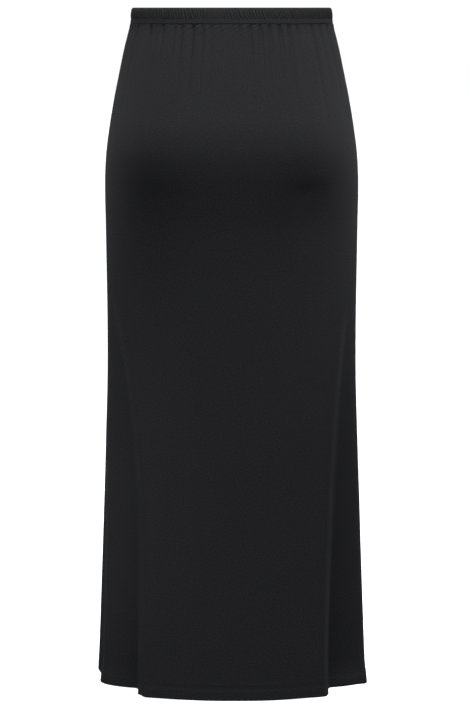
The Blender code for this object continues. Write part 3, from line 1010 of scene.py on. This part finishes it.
@dataclass
class Stitching:
    """The rows of machine stitches round the skirt."""

    rows: tuple[ThreadRow, ...] = (
        ThreadRow("elastic_stitches", ELASTIC_EDGE, -0.0002, 0.0030, 0.0008, 0.00042, False),
        ThreadRow("band_stitches", BAND_EDGE - 0.0016, 0.0001, 0.0026, 0.0007, 0.00034, False),
        ThreadRow("hem_stitches_upper", HEM_STITCHES[0], -0.0002, 0.0026, 0.0006, 0.00036, True),
        ThreadRow("hem_stitches_lower", HEM_STITCHES[1], -0.0001, 0.0026, 0.0006, 0.00036, True),
    )
    pieces: list[Object] = field(default_factory=list, init=False)

    @staticmethod
    def _one_stitch(row: ThreadRow) -> tuple[Array, Array]:
        """Models one stitch, a flattened bead of thread lying along X.

        Args:
            row: The row that it is for.

        Returns:
            Its points and its four-sided faces, triangles with their last corner repeated.
        """
        bpy.ops.object.select_all(action="DESELECT")
        bpy.ops.mesh.primitive_uv_sphere_add(segments=6, ring_count=5, radius=0.5)
        bead = name_piece("stitch")
        bpy.ops.object.mode_set(mode="EDIT")
        bpy.ops.mesh.select_all(action="SELECT")
        bpy.ops.transform.resize(value=(row.thread, row.thread, row.stitch_length))
        bpy.ops.object.mode_set(mode="OBJECT")
        points = np.array([vertex.co[:] for vertex in bead.data.vertices])[:, [2, 0, 1]]
        faces = [list(face.vertices) for face in bead.data.polygons]
        faces = np.array([face + face[-1:] * (4 - len(face)) for face in faces])
        bpy.data.objects.remove(bead, do_unlink=True)
        return points, faces

    def _lay_row(self, row: ThreadRow) -> Object:
        """Lays a row's stitches round the skirt as one piece.

        Args:
            row: The row.

        Returns:
            The piece.
        """
        outline = Outline(row.drop, gathered=row.gathered)
        pitch = row.stitch_length + row.gap
        count = int(outline.way[-1] / pitch)
        ways = (np.arange(count) + 0.5) * outline.way[-1] / count
        centre = outline.points(ways, row.stand_out)
        ahead = outline.points(ways + pitch * 0.1, row.stand_out)
        along = ahead - centre
        along[:, 2] = 0
        along /= np.linalg.norm(along, axis=1)[:, None]
        up = np.tile([0.0, 0.0, 1.0], (count, 1))
        out = np.cross(along, up)
        points, faces = self._one_stitch(row)
        axes = np.stack([along, out, up], axis=1)
        placed = centre[:, None, :] + points[None] @ axes
        shifted = faces[None] + (np.arange(count) * len(points))[:, None, None]
        sides = [list(dict.fromkeys(face)) for face in shifted.reshape(-1, 4).tolist()]
        mesh = bpy.data.meshes.new(row.name)
        mesh.from_pydata(placed.reshape(-1, 3).tolist(), [], sides)
        mesh.update()
        return link_object(row.name, mesh)

    def build(self) -> list[Object]:
        """Lays every row."""
        self.pieces = [self._lay_row(row) for row in self.rows]
        return self.pieces

    def dress(self, material: Material) -> None:
        """Finishes the rows and has them ride along.

        Args:
            material: The thread.
        """
        for piece in self.pieces:
            finish_piece(piece, material, THREAD_ANGLE)
            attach(piece, "root")


class NodeTree:
    """Short ways to add and join the nodes of one shader tree."""

    def __init__(self, tree: ShaderNodeTree) -> None:
        """Takes a tree to add to."""
        self.tree = tree

    def feed(self, node: Node, values: Inputs) -> None:
        """Joins an output to each of a node's named inputs, or sets a plain value there.

        Args:
            node: The node.
            values: For its inputs, outputs to join or plain values.
        """
        for name, value in values.items():
            if isinstance(value, NodeSocket):
                self.tree.links.new(value, node.inputs[name])
            else:
                node.inputs[name].default_value = value

    def add(self, kind: str, values: Inputs | None = None, **settings: object) -> Node:
        """Adds a node.

        Args:
            kind: The node's type.
            values: For its inputs, outputs to join or plain values.
            settings: Its properties.

        Returns:
            The node.
        """
        node = self.tree.nodes.new(kind)
        for name, value in settings.items():
            setattr(node, name, value)
        self.feed(node, values or {})
        return node

    def maths(self, operation: str, *values: object) -> NodeSocket:
        """Adds a math node and gives its output."""
        return self.add("ShaderNodeMath", dict(enumerate(values)), operation=operation).outputs[0]


def new_material(name: str) -> tuple[Material, NodeTree, Node]:
    """Makes a material of nodes.

    Args:
        name: The material's name.

    Returns:
        The material, its nodes and its shader.
    """
    material = bpy.data.materials.new(name)
    material.use_nodes = True
    return material, NodeTree(material.node_tree), material.node_tree.nodes["Principled BSDF"]


def knit_group() -> ShaderNodeTree:
    """Builds the node group of the jersey's knit.

    Its columns of V-shaped loops follow the cloth's own map, in metres. The group puts out the
    loops' height, and a tone with painted shade, darker between the loops, that also drifts
    softly over the cloth.

    Returns:
        The group.
    """
    group = bpy.data.node_groups.new("jersey_knit", "ShaderNodeTree")
    for name, value in (("Wales", 1350.0), ("Courses", 1750.0), ("Mottle", 0.10)):
        socket = group.interface.new_socket(name, in_out="INPUT", socket_type="NodeSocketFloat")
        socket.default_value = value
    group.interface.new_socket("Cloth", in_out="INPUT", socket_type="NodeSocketVector")
    group.interface.new_socket("Height", in_out="OUTPUT", socket_type="NodeSocketFloat")
    group.interface.new_socket("Tone", in_out="OUTPUT", socket_type="NodeSocketFloat")
    nodes = NodeTree(group)
    given = nodes.add("NodeGroupInput").outputs
    place = nodes.add("ShaderNodeSeparateXYZ", {0: given["Cloth"]}).outputs
    wale = nodes.maths("FRACT", nodes.maths("MULTIPLY", place["X"], given["Wales"]))
    aside = nodes.maths("ABSOLUTE", nodes.maths("MULTIPLY_ADD", wale, 2.0, -1.0))
    course = nodes.maths("MULTIPLY", place["Y"], given["Courses"])
    slanted = nodes.maths("FRACT", nodes.maths("MULTIPLY_ADD", aside, LOOP_SLANT, course))
    loop = nodes.maths("SINE", nodes.maths("MULTIPLY", slanted, math.pi))
    round_leg = nodes.maths("SINE", nodes.maths("MULTIPLY", aside, math.pi))
    leg = nodes.maths("MULTIPLY_ADD", round_leg, LOOP_ROUNDNESS, 1 - LOOP_ROUNDNESS)
    height = nodes.maths("MULTIPLY", loop, leg)
    noise = {"Vector": given["Cloth"], "Scale": 520.0, "Detail": 3.0, "Roughness": 0.6}
    drift = nodes.add("ShaderNodeTexNoise", noise, noise_dimensions="3D")
    spread = nodes.maths("MULTIPLY_ADD", drift.outputs["Fac"], 2.0, -1.0)
    mottle = nodes.maths("MULTIPLY_ADD", spread, given["Mottle"], GAP_SHADE_TONE)
    # Painted shade: the tone rises with the loops' height, darker in the gaps between them.
    tone = nodes.maths("MULTIPLY_ADD", height, LOOP_TOP_LIGHTENING, mottle)
    nodes.feed(nodes.add("NodeGroupOutput"), {"Height": height, "Tone": tone})
    return group


@dataclass(frozen=True)
class JerseyFinish:
    """Knitted jersey: matte, near black, soft sheen where it turns away, painted highlight on crests.
    """

    name: str
    colour: Triple
    roughness: float = 0.80
    specular: float = 0.005
    sheen: float = 0.004
    sheen_roughness: float = 0.42
    sheen_tint: Triple = (0.86, 0.90, 1.0)
    loop_height: float = 0.00012
    relief: float = 0.6
    mottle: float = 1.05

    def make(self, knit: ShaderNodeTree) -> Material:
        """Makes the material.

        Args:
            knit: The node group of the knit.

        Returns:
            The material.
        """
        material, nodes, shader = new_material(self.name)
        flat = nodes.add("ShaderNodeUVMap", uv_map="cloth").outputs["UV"]
        knitted = {"Cloth": flat, "Mottle": self.mottle}
        loops = nodes.add("ShaderNodeGroup", knitted, node_tree=knit).outputs
        # Painted highlight: the colour is made paler along the folds' crests, in place of light caught
        # there.
        painted_highlight = nodes.add("ShaderNodeAttribute", attribute_name="painted_highlight").outputs["Fac"]
        highlighted_tone = nodes.maths("MULTIPLY_ADD", painted_highlight, loops["Tone"], loops["Tone"])
        grey = nodes.add("ShaderNodeCombineColor", {"Red": highlighted_tone, "Green": highlighted_tone, "Blue": highlighted_tone})
        toned = {"Factor": 1.0, "A": (*self.colour, 1.0), "B": grey.outputs["Color"]}
        colour = nodes.add("ShaderNodeMix", toned, data_type="RGBA", blend_type="MULTIPLY")
        relief = {"Strength": self.relief, "Distance": self.loop_height, "Height": loops["Height"]}
        looks = {
            "Base Color": colour.outputs["Result"],
            "Normal": nodes.add("ShaderNodeBump", relief).outputs["Normal"],
            "Roughness": self.roughness,
            "Specular IOR Level": self.specular,
            "Sheen Weight": self.sheen,
            "Sheen Roughness": self.sheen_roughness,
            "Sheen Tint": (*self.sheen_tint, 1.0),
        }
        nodes.feed(shader, looks)
        return material


@dataclass(frozen=True)
class ThreadFinish:
    """Spun polyester thread, twisted, a little glossier than the cloth."""

    name: str = "thread"
    colour: Triple = (0.0175, 0.0178, 0.0192)
    roughness: float = 0.70
    specular: float = 0.08
    twists: float = 2600.0
    twist_depth: float = 0.00005
    relief: float = 0.4

    def make(self) -> Material:
        """Makes the material.

        Returns:
            The material.
        """
        material, nodes, shader = new_material(self.name)
        wave = {"Vector": nodes.add("ShaderNodeTexCoord").outputs["Object"], "Scale": self.twists}
        twist = nodes.add("ShaderNodeTexWave", wave, bands_direction="DIAGONAL").outputs["Color"]
        relief = {"Strength": self.relief, "Distance": self.twist_depth, "Height": twist}
        looks = {
            "Base Color": (*self.colour, 1.0),
            "Normal": nodes.add("ShaderNodeBump", relief).outputs["Normal"],
            "Roughness": self.roughness,
            "Specular IOR Level": self.specular,
        }
        nodes.feed(shader, looks)
        return material


@dataclass(frozen=True)
class SoftBox:
    """A soft rectangular light that faces a point."""

    name: str
    place: Triple
    aim: Triple
    width: float
    height: float
    power: float
    spread: float = 180.0


@dataclass
class Studio:
    """The pale floor, the soft light and the camera."""

    floor_drop: float = 1.10
    floor_size: float = 60.0
    camera_distance: float = 4.2
    camera_tilt: float = 7.11
    camera_aside: float = 0.0051
    camera_height: float = 0.009
    lens: float = 141.1
    sky_front: float = 0.655
    sky_side: float = -0.5
    sky_above: float = 0.2
    sky_tint: tuple[float, ...] = (0.98, 1.0, 1.05, 1.0)
    floor_colour: tuple[float, ...] = (0.93, 0.93, 0.94, 1.0)
    floor_glow: float = 0.60
    boxes: tuple[SoftBox, ...] = (
        SoftBox("top_light", (0.22, -0.64, 2.2), (0.0, -0.15, -0.3), 0.8, 0.8, 143.5),
        SoftBox("left_fill", (-1.05, -1.00, -0.58), (-0.29, -0.05, -0.72), 0.25, 0.5, 0.31, 26.0),
        SoftBox("band_fill", (-0.90, -0.80, 0.14), (-0.10, -0.10, -0.12), 0.15, 0.15, 0.016, 20.0),
        SoftBox("left_rim", (-0.85, 0.30, -0.10), (-0.19, 0.0, -0.20), 0.2, 0.2, 0.48, 45.0),
        SoftBox("right_rim", (0.85, 0.20, -0.08), (0.19, 0.0, -0.22), 0.2, 0.2, 0.52, 48.0),
    )

    def light(self) -> None:
        """Adds the soft lights and the sky."""
        for box in self.boxes:
            lamp = bpy.data.lights.new(box.name, "AREA")
            lamp.shape = "RECTANGLE"
            lamp.size, lamp.size_y = box.width, box.height
            lamp.energy = box.power
            lamp.spread = math.radians(box.spread)
            holder = link_object(box.name, lamp)
            holder.location = box.place
            aim = np.array(box.aim) - np.array(box.place)
            turn = math.atan2(aim[1], aim[0]) - math.pi / 2
            rise = math.atan2(aim[2], math.hypot(aim[0], aim[1]))
            holder.rotation_euler = (math.pi / 2 + rise, 0.0, turn)

    def sky(self) -> None:
        """Makes the surroundings white to the eye and soft from above to the cloth."""
        world = bpy.data.worlds.new("studio")
        bpy.context.scene.world = world
        world.use_nodes = True
        nodes = NodeTree(world.node_tree)
        direction = nodes.add("ShaderNodeTexCoord").outputs["Generated"]
        parts = nodes.add("ShaderNodeSeparateXYZ", {0: direction}).outputs
        above = nodes.maths("MAXIMUM", parts["Z"], 0.0)
        beside = nodes.maths("MULTIPLY", parts["X"], parts["X"])
        facing = nodes.maths("MULTIPLY_ADD", beside, self.sky_side, self.sky_front)
        dome = nodes.maths("MULTIPLY_ADD", above, self.sky_above, facing)
        seen = nodes.add("ShaderNodeLightPath").outputs["Is Camera Ray"]
        shown = nodes.add("ShaderNodeMix", {"Factor": seen, "A": dome, "B": 1.0}, data_type="FLOAT")
        tints = {"Factor": seen, "A": self.sky_tint, "B": WHITE}
        tint = nodes.add("ShaderNodeMix", tints, data_type="RGBA")
        looks = {"Strength": shown.outputs["Result"], "Color": tint.outputs["Result"]}
        nodes.feed(world.node_tree.nodes["Background"], looks)

    def floor(self) -> None:
        """Adds the plain pale floor."""
        bpy.ops.object.select_all(action="DESELECT")
        bpy.ops.mesh.primitive_plane_add(size=self.floor_size, location=(0, 0, -self.floor_drop))
        floor = name_piece("floor")
        material, nodes, shader = new_material("pale_floor")
        looks = {
            "Base Color": self.floor_colour,
            "Roughness": 0.9,
            "Emission Color": WHITE,
            "Emission Strength": self.floor_glow,
        }
        nodes.feed(shader, looks)
        floor.data.materials.append(material)
        floor.visible_diffuse = False

    def camera(self) -> None:
        """Adds the camera at the waist's height, behind the skirt and tilted down to its middle."""
        made = bpy.data.cameras.new("camera")
        made.lens = self.lens
        made.clip_end = 200.0
        holder = link_object("camera", made)
        holder.location = (self.camera_aside, -self.camera_distance, self.camera_height)
        holder.rotation_euler = (math.radians(90 - self.camera_tilt), 0.0, 0.0)
        bpy.context.scene.camera = holder

    def build(self) -> None:
        """Sets the whole studio up."""
        self.light()
        self.sky()
        self.floor()
        self.camera()
        bpy.context.scene.view_settings.view_transform = "Standard"


def report(piece: Object) -> None:
    """Logs a finished piece and its size."""
    triangles = sum(len(face.vertices) - 2 for face in piece.data.polygons)
    LOG.info("%s, %d triangles", piece.name, triangles)


def main() -> None:
    """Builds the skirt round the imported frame."""
    logging.basicConfig(level=logging.INFO, format="%(name)s: %(message)s")
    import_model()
    knit = knit_group()
    jersey = JerseyFinish("jersey", (0.0164, 0.0165, 0.0174)).make(knit)
    shirred = JerseyFinish("shirred_jersey", (0.0158, 0.0159, 0.0163)).make(knit)
    thread = ThreadFinish().make()
    makers = (
        (Waistband(), shirred),
        (Panel(BACK, flat_width=0.58, flat_top=0.48), jersey),
        (Panel(FRONT, flat_width=0.62, flat_top=0.56), jersey),
        (Stitching(), thread),
    )
    for maker, material in makers:
        pieces = maker.build()
        maker.dress(material)
        for piece in pieces:
            report(piece)
    Studio().build()


if __name__ == "__main__":
    main()
